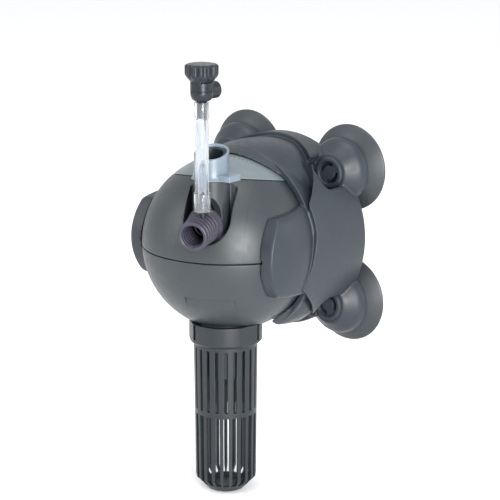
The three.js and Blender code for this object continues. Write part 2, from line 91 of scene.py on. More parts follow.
def corner(node, end, axis):
    """One coordinate of a CAD node's box, in millimetres from the ball's centre."""
    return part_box(node)[end][axis] / MM - BALL[axis]


TUBE_LOW = corner("air_tube", 0, 2)
TUBE_HIGH = corner("air_tube", 1, 2)
KNOB_LOW = corner("valve_knob", 0, 2)
KNOB_HIGH = corner("valve_knob", 1, 2)
BASKET_LOW = corner("strainer_basket", 0, 2)
COLLAR_LOW = corner("strainer_collar", 0, 2)
COLLAR_HIGH = corner("strainer_collar", 1, 2)
GLASS_Y = -BALL.y

IN_HOLDER = Matrix.Translation(BALL)
IN_PUMP = Matrix.Translation(BALL) @ Matrix.Rotation(YAW, 4, "Z")

# ---------- driving dimensions ----------
BALL_R = 42.0
WALL = 2.2
SEAM_Z = -1.0
SEAM_GAP = 0.45
CAP_TILT = math.radians(11.3)
CAP_PLANE = 30.4
CHANNEL_W = 11.2
CHANNEL_Z = 19.0
CHANNEL_FLOOR = -24.5
COLUMN_R = 8.1
COLUMN_BORE = 6.6
COLUMN_TOP = 36.2
REGULATOR_TOP = 51.5
HOLDER_INNER = 42.6
BOSS_FRONT = 35.2
BOSS_REAR = 46.8
SEAT_Z = -36.0
SLOT_COUNT = 21
SLOT_W = 2.5
SLOT_TURN = 72                   # degrees, puts a slot near the front
PIPE_LOW = -62.5
FLUTES = 12


# ---------- signed distances ----------
def smin(a, b, k):
    """The smaller of two distances, with a fillet of about k where they meet."""
    h = np.clip(0.5 + 0.5 * (b - a) / k, 0, 1)
    return b * (1 - h) + a * h - k * h * (1 - h)


def smax(a, b, k):
    return -smin(-a, -b, k)


def cut(a, b, k=0.4):
    """a with b taken away, its new edges rounded by about k."""
    return smax(a, -b, k)


def round_box(u, v, half_u, half_v, soft):
    """A rectangle with round corners in two coordinates."""
    du = np.abs(u) - half_u + soft
    dv = np.abs(v) - half_v + soft
    outside = np.hypot(np.maximum(du, 0), np.maximum(dv, 0))
    return np.minimum(np.maximum(du, dv), 0) + outside - soft


def rod(across, along, radius, low, high, soft=0.3):
    """A round rod: across is the distance from its axis, along the place on it."""
    middle = (low + high) / 2
    return round_box(across, along - middle, radius, (high - low) / 2, soft)


def wrap(angle, period):
    return np.mod(angle + period / 2, period) - period / 2


def ellipsoid(x, y, z, semi, scale):
    """Near enough the distance to an ellipsoid, for semi-axes close to scale."""
    return (np.sqrt((x / semi[0]) ** 2 + (y / semi[1]) ** 2 + (z / semi[2]) ** 2) - 1) * scale


def oval(u, v, half_u, half_v):
    k = np.hypot(u / half_u, v / half_v)
    slope = np.hypot(u / half_u**2, v / half_v**2)
    return (k - 1) * k / np.maximum(slope, 1e-6)


# ---------- meshes ----------
def new_object(name, points, faces, place, normals=None):
    mesh = bpy.data.meshes.new(name)
    matrix = np.array(place)
    world = (points @ matrix[:3, :3].T + matrix[:3, 3]) * MM
    mesh.from_pydata(world.tolist(), [], faces.tolist())
    mesh.validate()
    mesh.polygons.foreach_set("use_smooth", [True] * len(mesh.polygons))
    if normals is not None and len(mesh.vertices) == len(points):
        mesh.normals_split_custom_set_from_vertices((normals @ matrix[:3, :3].T).tolist())
    obj = bpy.data.objects.new(name, mesh)
    bpy.context.scene.collection.objects.link(obj)
    return obj


def slope_of(shape, points, h=0.04):
    steps = []
    for axis in range(3):
        shift = np.zeros(3, np.float32)
        shift[axis] = h
        steps.append(shape(*(points + shift).T) - shape(*(points - shift).T))
    slope = np.stack(steps, 1) / (2 * h)
    return slope, np.maximum(np.linalg.norm(slope, axis=1, keepdims=True), 1e-4)


def carve(name, shape, low, high, step, place):
    """A mesh of the surface where shape(x, y, z) is zero, inside the box low to high."""
    axes = [np.arange(a - 2 * step, b + 3 * step, step, dtype=np.float32)
            for a, b in zip(low, high)]
    field = np.empty([len(a) for a in axes], np.float32)
    for i in range(0, len(axes[0]), 24):
        block = np.meshgrid(axes[0][i:i + 24], axes[1], axes[2], indexing="ij")
        field[i:i + 24] = shape(*block)
    grid = openvdb.FloatGrid(3 * step)
    grid.copyFromArray(np.clip(field, -3 * step, 3 * step))
    points, faces = grid.convertToQuads(0.0)
    points = points.astype(np.float32) * step + np.array([a[0] for a in axes], np.float32)
    for _ in range(3):
        slope, size = slope_of(shape, points)
        move = shape(*points.T)[:, None] * slope / size**2
        points = points - np.clip(move, -0.5 * step, 0.5 * step).astype(np.float32)
    slope, size = slope_of(shape, points)
    corners = points[faces]
    facing = np.cross(corners[:, 2] - corners[:, 0], corners[:, 3] - corners[:, 1])
    if (facing * slope[faces[:, 0]]).sum() < 0:
        faces = faces[:, ::-1]
    return new_object(name, points, faces, place, slope / size)


def rounded(profile, radius, steps=4):
    """A closed or open profile of (r, h) points with its inner corners rounded."""
    out = [profile[0]]
    for before, here, after in zip(profile, profile[1:], profile[2:]):
        a, b, c = (np.array(v, float) for v in (before, here, after))
        room = min(radius, 0.45 * np.linalg.norm(a - b), 0.45 * np.linalg.norm(c - b))
        start = b + (a - b) / max(np.linalg.norm(a - b), 1e-9) * room
        end = b + (c - b) / max(np.linalg.norm(c - b), 1e-9) * room
        for i in range(steps + 1):
            t = i / steps
            out.append(tuple((1 - t) ** 2 * start + 2 * t * (1 - t) * b + t * t * end))
    return out + [profile[-1]]


def revolve(name, profile, place, sides=72):
    """A profile of (r, h) turned round the local Z axis."""
    rings = np.array(profile, float)
    turn = np.arange(sides) * 2 * math.pi / sides
    points = np.stack([
        np.outer(rings[:, 0], np.cos(turn)),
        np.outer(rings[:, 0], np.sin(turn)),
        np.repeat(rings[:, 1:], sides, 1),
    ], -1).reshape(-1, 3)
    faces = []
    for i in range(len(rings) - 1):
        for j in range(sides):
            k = (j + 1) % sides
            faces.append((i * sides + j, i * sides + k, (i + 1) * sides + k, (i + 1) * sides + j))
    obj = new_object(name, points, np.array(faces), place)
    tidy_mesh(obj)
    return obj


def tidy_mesh(obj):
    """Joins the points that share a place and turns every face outwards."""
    work = bmesh.new()
    work.from_mesh(obj.data)
    bmesh.ops.remove_doubles(work, verts=work.verts, dist=1e-6)
    bmesh.ops.dissolve_degenerate(work, edges=work.edges, dist=1e-7)
    bmesh.ops.recalc_face_normals(work, faces=work.faces)
    work.to_mesh(obj.data)
    work.free()


# ---------- materials ----------
def mould_mark(nodes, links, position, shade, normal, offset):
    """Darkens the colour in a hairline where a plane of the mould cuts the surface."""
    along = nodes.new("ShaderNodeVectorMath")
    along.operation = "DOT_PRODUCT"
    along.inputs[1].default_value = normal
    links.new(position, along.inputs[0])
    near = nodes.new("ShaderNodeMath")
    near.operation = "COMPARE"
    near.inputs[1].default_value = offset * MM
    near.inputs[2].default_value = 0.13 * MM
    links.new(along.outputs["Value"], near.inputs[0])
    darker = nodes.new("ShaderNodeMath")
    darker.operation = "MULTIPLY_ADD"
    darker.inputs[1].default_value = -0.45
    darker.inputs[2].default_value = 1
    links.new(near.outputs["Value"], darker.inputs[0])
    return times(nodes, links, shade, darker.outputs["Value"])


def times(nodes, links, a, b):
    node = nodes.new("ShaderNodeMath")
    node.operation = "MULTIPLY"
    links.new(a, node.inputs[0])
    links.new(b, node.inputs[1])
    return node.outputs["Value"]


def remap(nodes, links, value, low, high, to_low, to_high):
    node = nodes.new("ShaderNodeMapRange")
    node.inputs["From Min"].default_value = low
    node.inputs["From Max"].default_value = high
    node.inputs["To Min"].default_value = to_low
    node.inputs["To Max"].default_value = to_high
    links.new(value, node.inputs["Value"])
    return node.outputs["Result"]


def material(name, colour, rough, spread=0.06, grain=0.35, bump=0.12, line=None, **sockets):
    """Moulded material: fine grain in the surface, slight cloudiness in colour and gloss, and a
    painted highlight that lightens convex edges.

    line is the (normal, offset in mm) of a plane that leaves a hairline mould mark.
    """
    mat = bpy.data.materials.new(name)
    mat.use_nodes = True
    nodes, links = mat.node_tree.nodes, mat.node_tree.links
    shader = nodes["Principled BSDF"]
    place = nodes.new("ShaderNodeTexCoord")

    def noise(size_mm, detail):
        node = nodes.new("ShaderNodeTexNoise")
        node.inputs["Scale"].default_value = 1 / (size_mm * MM)
        node.inputs["Detail"].default_value = detail
        links.new(place.outputs["Object"], node.inputs["Vector"])
        return node.outputs["Fac"]

    cloud = remap(nodes, links, noise(14, 3), 0.3, 0.7, 1 - spread, 1 + spread)
    speck = remap(nodes, links, noise(grain, 2), 0.3, 0.7, 1 - spread, 1 + spread)
    geometry = nodes.new("ShaderNodeNewGeometry")
    # Painted highlight: convex edges, found by pointiness, are made up to a quarter lighter in colour.
    painted_edge_highlight = remap(nodes, links, geometry.outputs["Pointiness"], 0.5, 0.62, 1, 1.25)
    shade = times(nodes, links, times(nodes, links, cloud, speck), painted_edge_highlight)
    if line:
        shade = mould_mark(nodes, links, place.outputs["Object"], shade, *line)
    tint = nodes.new("ShaderNodeVectorMath")
    tint.operation = "SCALE"
    tint.inputs[0].default_value = colour
    links.new(shade, tint.inputs["Scale"])
    links.new(tint.outputs["Vector"], shader.inputs["Base Color"])
    gloss = remap(nodes, links, noise(3, 4), 0.3, 0.7, rough - 0.05, rough + 0.05)
    links.new(gloss, shader.inputs["Roughness"])
    relief = nodes.new("ShaderNodeBump")
    relief.inputs["Strength"].default_value = bump
    relief.inputs["Distance"].default_value = 0.1 * MM
    links.new(noise(grain, 3), relief.inputs["Height"])
    links.new(relief.outputs["Normal"], shader.inputs["Normal"])
    for socket, value in sockets.items():
        shader.inputs[socket.replace("_", " ")].default_value = value
    return mat


HOLDER_MAT = material("holder_plastic", (0.018, 0.024, 0.030), 0.42, grain=0.3, bump=0.25,
                      Specular_IOR_Level=0.34)
MOULD_LINE_X = 18
mould_normal = Vector((math.cos(YAW), math.sin(YAW), 0))
TOP_MAT = material("casing_plastic_top", (0.022, 0.028, 0.031), 0.40, grain=0.4, bump=0.5,
                   line=(mould_normal, MOULD_LINE_X + BALL.dot(mould_normal)), Specular_IOR_Level=0.42)
CASING_MAT = material("casing_plastic", (0.022, 0.028, 0.031), 0.40, grain=0.4, bump=0.5,
                      Specular_IOR_Level=0.42)
SCALE_MAT = material("scale_plastic", (0.110, 0.134, 0.142), 0.36, spread=0.04, bump=0.2)
REGULATOR_MAT = material("regulator_plastic", (0.120, 0.155, 0.190), 0.32, spread=0.04, bump=0.2)
CUP_MAT = material("cup_rubber", (0.023, 0.028, 0.032), 0.40, grain=0.6, bump=0.1,
                   Specular_IOR_Level=0.4)
BELLOWS_MAT = material("bellows_rubber", (0.024, 0.022, 0.034), 0.35, grain=0.5, bump=0.12,
                       Specular_IOR_Level=0.4)
DARK_MAT = material("dark_plastic", (0.006, 0.010, 0.014), 0.32, grain=0.3, bump=0.2,
                    Specular_IOR_Level=0.32)
STRAINER_MAT = material("strainer_plastic", (0.012, 0.016, 0.019), 0.40, grain=0.3, bump=0.25,
                        Specular_IOR_Level=0.34)
SEAL_MAT = material("seal_rubber", (0.012, 0.012, 0.014), 0.5)
TUBE_MAT = material("clear_tube", (0.80, 0.83, 0.86), 0.10, spread=0.01, bump=0,
                    Transmission_Weight=0.95, IOR=1.36)


def dress(obj, body, mat, slot, *nodes):
    obj.data.materials.append(mat)
    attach(obj, body)
    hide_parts(*nodes)
    return obj


# ---------- holder ----------
BARREL_FRONT = 5                 # at the middle of each side pad
BARREL_REAR = 44.5
BARREL_MIDDLE_R = 44.25
BARREL_HALF_WALL = 3.25
PAD_HALF = 18.5
PAD_SEMI = (46.6, 44, 46)        # semi-axes of the ellipsoid that the side pads lie on
PAD_Y = -6                       # and the place of its centre
DOME_SEMI = (47, 62.9, 46.3)     # the same for the petals above and below
DOME_Y = 20
PETAL_SEMI = (38, 30)            # the outline of those petals, seen from above
PETAL_TOP_Y = 29.5
PETAL_BOTTOM_Y = 24.5
PETAL_REAR = 38
REAR_BORE = 27
POCKET_R = 9.2
CUP_PLACES = []
for node in ("left_bottom", "left_top", "right_bottom", "right_top"):
    low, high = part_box("suction_cup_" + node)
    centre = (Vector(low) + Vector(high)) / 2 / MM - BALL
    CUP_PLACES.append((node, centre.x, centre.z))
# Clock angles of the middle of the two arc slots in each boss, and half their length.
ARC_MIDDLES = {"left_bottom": (60, 247), "left_top": (330, 142),
               "right_bottom": (60, 247), "right_top": (330, 142)}
ARC_HALF = math.radians(58)


def petals(x, y, z, ball):
    """The four petals: domed ones above and below, thick flat-fronted pads at the sides."""
    centre_y = np.where(z > 0, PETAL_TOP_Y, PETAL_BOTTOM_Y)
    outline = oval(x, np.minimum(y - centre_y, 0), *PETAL_SEMI)
    domed = ellipsoid(x, y - DOME_Y, z, DOME_SEMI, DOME_SEMI[2])
    domed = smax(domed, ball - 43.4 + np.where(z > 0, 0.6, 1.5) * outline, 4.0)
    domed = smax(domed, outline, 0.4)
    domed = smax(domed, 19.5 - np.abs(z), 1.0)
    domed = np.maximum(domed, y - PETAL_REAR)
    side = ellipsoid(x, y - PAD_Y, z, PAD_SEMI, PAD_SEMI[0])
    half = PAD_HALF + 0.13 * np.clip(y + 15, 0, 25)
    side = smax(side, np.abs(z - 0.5) - half, 2.2)
    side = smax(side, -23 + 0.021 * z * z - y, 0.7)
    side = smax(side, y - 12, 1.0)
    return smin(domed, side, 0.6)


def boss(across, y):
    cone = (across - 8.2 - (y - BOSS_FRONT) * 1.02) * 0.7
    body = smax(cone, across - 15.7, 2.0)
    body = smax(body, BOSS_FRONT + 0.9 - y, 0.6)
    body = smin(body, rod(across, y, 7.4, BOSS_FRONT, BOSS_REAR, 0.5), 0.5)
    return smax(body, y - BOSS_REAR, 0.9)


def boss_cuts(x, z, across, y, name):
    clock = np.arctan2(x, z)
    cuts = rod(across, y, 5.6, BOSS_FRONT - 3, BOSS_FRONT + 0.6, 0.2)
    for middle in ARC_MIDDLES[name]:
        along = (np.abs(wrap(clock - math.radians(middle), 2 * math.pi)) - ARC_HALF) * across
        slot = smax(round_box(across - 4.2, y - BOSS_FRONT, 0.85, 4.5, 0.2), along, 0.2)
        cuts = np.minimum(cuts, slot)
    return np.minimum(cuts, rod(across, y, 10, BOSS_FRONT + 3, BOSS_REAR + 3, 0.2))


def holder_shape(x, y, z):
    across = np.hypot(x, z)
    # The barrel's front edge runs further forward towards the bottom of each side pad.
    front = BARREL_FRONT + 0.25 * np.clip(z, -22, 10)
    middle, half = (BARREL_REAR + front) / 2, (BARREL_REAR - front) / 2
    bulge = 0.0015 * (y - 24) ** 2
    band = round_box(across + bulge - BARREL_MIDDLE_R, y - middle, BARREL_HALF_WALL, half, 0.4)
    scallop = (np.hypot(x / 44, (y + 9.1) / 45.6) - 1) * 44
    band = cut(band, scallop, 0.4)
    ball = np.sqrt(x * x + y * y + z * z)
    shell = smax(ball - 45.4, 7 - y, 0.6)
    body = smin(smin(band, shell, 1.0), petals(x, y, z, ball), 0.7)
    bosses = [(name, x - cup_x, z - cup_z) for name, cup_x, cup_z in CUP_PLACES]
    for name, dx, dz in bosses:
        body = cut(body, rod(np.hypot(dx, dz), y, POCKET_R, 24, 40, 3.0), 2.0)
    body = smin(body, round_box(across - 33.5, y - 37.5, 8.5, 1.5, 0.5), 1.0)
    body = cut(body, rod(across, y, REAR_BORE, 20, 60, 0.5), 0.8)
    gate = smax(smax(np.abs(x) - 23.5, y - 34, 3.0), z, 1.0)
    body = cut(body, gate, 1.5)
    for name, dx, dz in bosses:
        body = smin(body, boss(np.hypot(dx, dz), y), 1.0)
    body = cut(body, ball - HOLDER_INNER, 0.3)
    for name, dx, dz in bosses:
        body = cut(body, boss_cuts(dx, dz, np.hypot(dx, dz), y, name), 0.25)
    return body


low, high = (np.array(v) / MM - np.array(BALL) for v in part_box("holder"))
fine = 0.5
dress(carve("holder_body", holder_shape, low, high, fine, IN_HOLDER),
      "holder", HOLDER_MAT, "holder_plastic", "holder")

for name, cup_x, cup_z in CUP_PLACES:
    depth = GLASS_Y
    profile = [
        (0, BOSS_FRONT + 4.5), (9.2, BOSS_FRONT + 4.5), (9.6, BOSS_REAR - 2),
        (9.6, BOSS_REAR + 0.3), (12.8, BOSS_REAR + 0.3), (14.2, BOSS_REAR + 1.3),
        (17.3, depth - 3.1), (20.5, depth - 0.9), (20.9, depth - 0.4), (20.9, depth),
        (19.5, depth), (16.2, depth - 2.1), (10, depth - 3.6), (0, depth - 3.8),
    ]
    turn = Matrix.Translation((cup_x, 0, cup_z)) @ Matrix.Rotation(-math.pi / 2, 4, "X")
    cup = revolve("cup_" + name, rounded(profile, 0.9), IN_HOLDER @ turn, 96)
    dress(cup, "holder", CUP_MAT, "cup_rubber", "suction_cup_" + name)


# ---------- casing ----------
BOWL = (-43.5, 19.5, 11.8)       # y, z and radius of the hollow in front of the column
SPIGOT_R = 5.0
SPIGOT_FRONT = -40.2
SPIGOT_BORE = 3.9
CATCH_X = 0.8                    # the finger catch below the seam
CATCH_HALF_WIDTH = 12
CATCH_LOW = -24.5
CATCH_HIGH = -19.1


def channel(x, z, half):
    return np.where(z > CHANNEL_Z, np.abs(x), np.hypot(x, z - CHANNEL_Z)) - half


def over_plane(y, z):
    return y * math.sin(CAP_TILT) + z * math.cos(CAP_TILT) - CAP_PLANE


def upper_shape(x, y, z):
    ball = np.sqrt(x * x + y * y + z * z)
    body = np.maximum(ball - BALL_R, BALL_R - WALL - ball)
    wall = np.maximum(channel(x, z, CHANNEL_W + 1.8), y - CHANNEL_FLOOR - 1.8)
    body = np.minimum(body, np.maximum(wall, ball - BALL_R))
    body = cut(body, smax(channel(x, z, CHANNEL_W), y - CHANNEL_FLOOR, 1.2), 0.6)
    step = np.maximum(-0.15 - over_plane(y, z), BALL_R - 1.0 - ball)
    body = cut(body, step, 0.15)
    beside = np.hypot(x, y - COLUMN_Y)
    beside_nozzle = np.hypot(x, z - NOZZLE_Z)
    body = smin(body, rod(beside, z, COLUMN_R, SEAM_Z, COLUMN_TOP, 0.4), 1.2)
    # The column is hollowed in front, below the regulator, where the nozzle comes out.
    bowl = np.sqrt(x * x + (y - BOWL[0]) ** 2 + (z - BOWL[1]) ** 2) - BOWL[2]
    body = cut(body, bowl, 0.6)
    body = smin(body, rod(beside_nozzle, y, SPIGOT_R, SPIGOT_FRONT, COLUMN_Y, 0.3), 0.8)
    body = cut(body, rod(beside, z, COLUMN_BORE, 32.5, 60, 0.2), 0.2)
    body = cut(body, rod(np.hypot(x, y - COLUMN_Y + 2), z, 3, SEAM_Z - 5, 60, 0.2), 0.2)
    body = cut(body, rod(beside_nozzle, y, SPIGOT_BORE, -60, COLUMN_Y, 0.2), 0.2)
    return smax(body, SEAM_Z + SEAM_GAP / 2 - z, 0.45)


def lower_shape(x, y, z):
    ball = np.sqrt(x * x + y * y + z * z)
    body = np.maximum(ball - BALL_R, BALL_R - WALL - ball)
    # A wide, shallow finger catch, deepest along its upper edge.
    beyond = np.abs(z - (CATCH_LOW + CATCH_HIGH) / 2) - (CATCH_HIGH - CATCH_LOW) / 2
    notch = np.maximum(smax(np.abs(x - CATCH_X) - CATCH_HALF_WIDTH, beyond, 0.3), y)
    notch = smax(notch, BALL_R - 0.18 * (z - CATCH_LOW) - ball, 0.1)
    body = cut(body, notch, 0.25)
    beside = np.hypot(x, y - STRAINER_Y)
    seat = np.maximum(rod(beside, z, 20, -44, SEAT_Z + WALL), ball - BALL_R)
    body = np.minimum(body, seat)
    body = cut(body, rod(beside, z, 18, -60, SEAT_Z), 0.5)
    body = np.minimum(body, rod(beside, z, 13, COLLAR_LOW + 2, SEAT_Z + 1))
    body = cut(body, rod(beside, z, 11, -60, -30), 0.3)
    return smax(body, z - SEAM_Z + SEAM_GAP / 2, 0.45)


def plate_shape(x, y, z):
    ball = np.sqrt(x * x + y * y + z * z)
    body = smax(ball - BALL_R, BALL_R - 0.7 - ball, 0.05)
    body = smax(body, 0.15 - over_plane(y, z), 0.25)
    hole = np.maximum(channel(x, z, CHANNEL_W + 0.3), y - CHANNEL_FLOOR - 0.3)
    body = cut(body, hole, 0.2)
    body = cut(body, np.hypot(x, y - COLUMN_Y) - 9.9, 0.2)
    # A plain row of small slots, the scale that the regulator is read against.
    # The row runs just ahead of the top petal's edge.
    across = x * math.cos(YAW) - y * math.sin(YAW)
    ahead = PETAL_TOP_Y - x * math.sin(YAW) - y * math.cos(YAW)
    along = wrap(np.arctan2(across, ahead), 0.07) * 32
    pit = round_box(along, oval(across, ahead, *PETAL_SEMI) - 2.0, 0.6, 0.42, 0.1)
    pit = np.maximum(pit, np.maximum(BALL_R - 0.9 - ball, np.abs(across - 7) - 10))
    return cut(body, pit, 0.1)


shell = 0.4
top = (BALL_R + 0.5, BALL_R + 0.5, BALL_R + 0.5)
upper = carve("casing_top", upper_shape, (-42.5, -43, -1.5), top, shell, IN_PUMP)
dress(upper, "pump", TOP_MAT, "casing_plastic", "upper_shell")
lower = carve("casing_bottom", lower_shape, (-42.5, -42.5, -45), (42.5, 42.5, 0), shell, IN_PUMP)
dress(lower, "pump", CASING_MAT, "casing_plastic", "lower_shell")
plate = carve("scale_cap", plate_shape, (-31, -26, 18), (31, 39, 42.5),
              0.22, IN_PUMP)
dress(plate, "pump", SCALE_MAT, "scale_plastic", "scale_plate")


# ---------- flow regulator ----------
POINTER_TURN = math.radians(-20)
RIM_TILT = math.radians(17)
SKIRT_LOW = 33


def over_rim(y, z, height):
    """How far a place is above the regulator's slanted rim."""
    rim = height + y * math.tan(RIM_TILT) - z
    return -rim * math.cos(RIM_TILT)


def regulator_shape(x, y, z):
    y = y - COLUMN_Y
    beside = np.hypot(x, y)
    foot = COLUMN_TOP + 0.3
    flare = 1.5 * np.exp(-np.maximum(z - foot, 0) / 1.3)
    body = smax(beside - 8.1 - flare, np.maximum(foot - z, z - REGULATOR_TOP), 0.4)
    # The pointer is a ledge on one side, with a shallow window in its face.
    along = x * math.cos(POINTER_TURN) + y * math.sin(POINTER_TURN)
    across = y * math.cos(POINTER_TURN) - x * math.sin(POINTER_TURN)
    ledge = round_box(along - 6.8, across, 6.8, 5.6 - 0.1 * along, 0.5)
    ledge = smax(ledge, np.abs(z - foot - 1.5) - 1.5, 0.4)
    window = np.maximum(round_box(along - 7, z - foot - 1.5, 3.4, 0.9, 0.2), -across - 5.6)
    window = np.maximum(window, across + 4.4)
    ledge = cut(ledge, window, 0.15)
    body = smin(body, ledge, 0.5)
    skirt = rod(beside, z, COLUMN_BORE - 0.3, SKIRT_LOW, foot + 2, 0.2)
    body = np.minimum(body, skirt)
    body = cut(body, rod(beside, z, 6.95, foot + 1.0, 70, 0.4), 0.3)
    body = cut(body, rod(beside, z, 5.2, 0, 70, 0.2), 0.3)
    return smax(body, over_rim(y, z, REGULATOR_TOP - 2.6), 0.5)


def liner_shape(x, y, z):
    """The dark pipe inside the sleeve, a little lower than its rim."""
    beside = np.hypot(x, y - COLUMN_Y)
    body = round_box(beside - 6.1, z - 45, 0.7, 9, 0.2)
    return smax(body, over_rim(y - COLUMN_Y, z, REGULATOR_TOP - 3.6), 0.3)


sleeve_low, sleeve_high = (-11, COLUMN_Y - 14, 32.5), (15, COLUMN_Y + 11, REGULATOR_TOP + 0.5)
grid = 0.22
sleeve = carve("regulator", regulator_shape, sleeve_low, sleeve_high, grid, IN_PUMP)
dress(sleeve, "flow_regulator", REGULATOR_MAT, "scale_plastic", "regulator_sleeve")
liner = carve("regulator_liner", liner_shape, sleeve_low, sleeve_high, grid, IN_PUMP)
dress(liner, "flow_regulator", DARK_MAT, "dark_plastic", "regulator_sleeve")

# ---------- nozzle and air tube ----------
NOZZLE_BASE = 37.7
NOZZLE_LENGTH = 17.3
NOZZLE_DROOP = math.radians(6.5)
NOZZLE_TURN = math.radians(-3)
RINGS = 6
CUFF_LENGTH = 8.4
FLARE_LENGTH = 6.4


def bellows_profile():
    """Thin ridges with wider grooves between them, the same inside as outside."""
    outer, inner = [(5.8, 0), (8.6, 0), (8.7, 0.6), (8.6, 1.3)], []
    pitch = (NOZZLE_LENGTH - 3.2) / RINGS
    steps = 12
    for i in range(RINGS * steps + 1):
        t = i / steps
        ridge = (0.5 + 0.5 * math.cos(2 * math.pi * t)) ** 2.6
        root = 5.3 + 0.8 * math.exp(-t / 1.5)
        crest = 8.1 - 1.1 * t / RINGS
        if i > steps // 3:
            outer.append((root + (crest - root) * ridge, 2 + t * pitch))
        inner.append((root - 0.6 + 0.6 * ridge, 2 + t * pitch))
    outer.append((outer[-1][0], NOZZLE_LENGTH - 0.4))
    inner.append((inner[-1][0] + 0.2, NOZZLE_LENGTH - 0.4))
    return outer + inner[::-1] + [(5.8, 0)]


droop = Matrix.Rotation(NOZZLE_DROOP, 4, "X")
turn = Matrix.Rotation(NOZZLE_TURN, 4, "Z")
forward = Matrix.Rotation(math.pi / 2, 4, "X")
nozzle_place = IN_PUMP @ Matrix.Translation((0, -NOZZLE_BASE, NOZZLE_Z)) @ turn @ droop @ forward
bellows = revolve("nozzle", bellows_profile(), nozzle_place, 64)
dress(bellows, "nozzle", BELLOWS_MAT, "bellows_rubber", "nozzle_bellows")

AT_TUBE = IN_PUMP @ Matrix.Translation((TUBE_X, TUBE_Y, 0))


def ring_profile(outer, inner, bottom, top):
    return [(inner, bottom), (outer, bottom), (outer, top), (inner, top), (inner, bottom)]


hose_profile = [
    (2.1, TUBE_LOW), (3.05, TUBE_LOW), (3.05, TUBE_HIGH - FLARE_LENGTH - 0.4),
    (3.45, TUBE_HIGH - FLARE_LENGTH), (3.45, TUBE_HIGH), (2.45, TUBE_HIGH),
    (2.45, TUBE_HIGH - FLARE_LENGTH - 0.6), (2.1, TUBE_HIGH - FLARE_LENGTH - 1.2),
    (2.1, TUBE_LOW),
]
hose = revolve("air_hose", rounded(hose_profile, 0.15), AT_TUBE, 48)
dress(hose, "nozzle", TUBE_MAT, "clear_tube", "air_tube")
cuff_profile = ring_profile(3.9, 3.3, TUBE_LOW, TUBE_LOW + CUFF_LENGTH)
cuff = revolve("hose_cuff", rounded(cuff_profile, 0.2), AT_TUBE, 48)
dress(cuff, "nozzle", TUBE_MAT, "clear_tube", "tube_sleeve")
barb_profile = [(0.9, NOZZLE_Z + 3), (1.8, NOZZLE_Z + 3)]
for i in range(3):
    tooth = TUBE_LOW + 1.5 * i
    barb_profile += [(1.8, tooth), (1.8, tooth + 1.2), (1.5, tooth + 1.3)]
barb_profile += [(1.5, TUBE_LOW + 8), (0.9, TUBE_LOW + 8), (0.9, NOZZLE_Z + 3)]
barb = revolve("hose_barb", rounded(barb_profile, 0.1), AT_TUBE, 32)
dress(barb, "nozzle", DARK_MAT, "dark_plastic", "air_barb")


# ---------- air valve ----------
VALVE_R = 5.2
VALVE_LEDGE = 5.4                # height of the line round the valve's body
PORT_TURN = math.radians(60)
PORT_LIFT = 5
PORT_REACH = 8.8
STEM_R = 2.3
KNOB_R = 7.6
TONGUE_R = 5.55
TONGUE_TURN = math.radians(-95)


def valve_shape(x, y, z):
    x, y = x - TUBE_X, y - TUBE_Y
    beside = np.hypot(x, y)
    body = rod(beside, z, VALVE_R, TUBE_HIGH + 0.3, KNOB_LOW - 0.1, 0.3)
    body = smax(body, (beside - VALVE_R + (TUBE_HIGH + 2.2 - z)) * 0.7, 1.6)
    line = round_box(beside - VALVE_R, z - TUBE_HIGH - VALVE_LEDGE, 0.2, 0.2, 0.05)
    body = cut(body, line, 0.1)
    along = x * math.cos(PORT_TURN) + y * math.sin(PORT_TURN)
    sideways = y * math.cos(PORT_TURN) - x * math.sin(PORT_TURN)
    across = np.hypot(sideways, z - TUBE_HIGH - PORT_LIFT)
    body = smin(body, rod(across, along, 3.9, 0, PORT_REACH, 0.6), 0.8)
    body = cut(body, rod(across, along, 2.3, PORT_REACH - 1.4, 12, 0.1), 0.3)
    body = cut(body, rod(across, along, 1.2, 0, 12, 0.1), 0.3)
    stem = rod(beside, z, STEM_R, TUBE_HIGH - 7, TUBE_HIGH + 1, 0.6)
    body = np.minimum(body, stem)
    body = cut(body, rod(beside, z, 0.9, TUBE_HIGH - 9, TUBE_HIGH, 0.1), 0.2)
    return cut(body, rod(beside, z, 1.4, TUBE_HIGH - 0.5, 100, 0.1), 0.2)


def knob_shape(x, y, z):
    """Broad flutes under a domed top; the skirt tapers down onto the valve."""
    x, y = x - TUBE_X, y - TUBE_Y
    beside = np.hypot(x, y)
    side = np.arctan2(y, x)
    flute = 2 * math.pi / FLUTES
    groove = np.hypot(beside - KNOB_R - 0.3, beside * np.sin(wrap(side, flute))) - 1.15
    grip = cut(beside - KNOB_R, groove, 0.4)
    grip = smax(grip, z - KNOB_HIGH + 0.9, 1.4)
    crown = z - KNOB_HIGH + 0.022 * beside**2
    body = smax(grip, crown, 0.5)
    skirt = (beside - VALVE_R) * 0.72 - (z - KNOB_LOW - 0.2) * 0.62
    body = smax(body, skirt, 0.8)
    # A small pointed tongue hangs from the skirt and shows how far the valve is open.
    turned = wrap(side - TONGUE_TURN, 2 * math.pi)
    tongue = np.maximum(np.abs(beside - TONGUE_R) - 0.35, np.abs(z - KNOB_LOW + 0.2) - 2.4)
    tongue = smax(tongue, np.abs(turned) * beside - 1.9 - 0.62 * (z - KNOB_LOW), 0.3)
    body = smin(body, tongue, 0.2)
    hang = np.where(np.abs(beside - TONGUE_R) < 0.5, 2.8, 0)
    body = smax(body, KNOB_LOW - z - hang, 0.2)
    return cut(body, rod(beside, z, 1.4, KNOB_LOW - 1, KNOB_HIGH - 2.2, 0.1), 0.2)


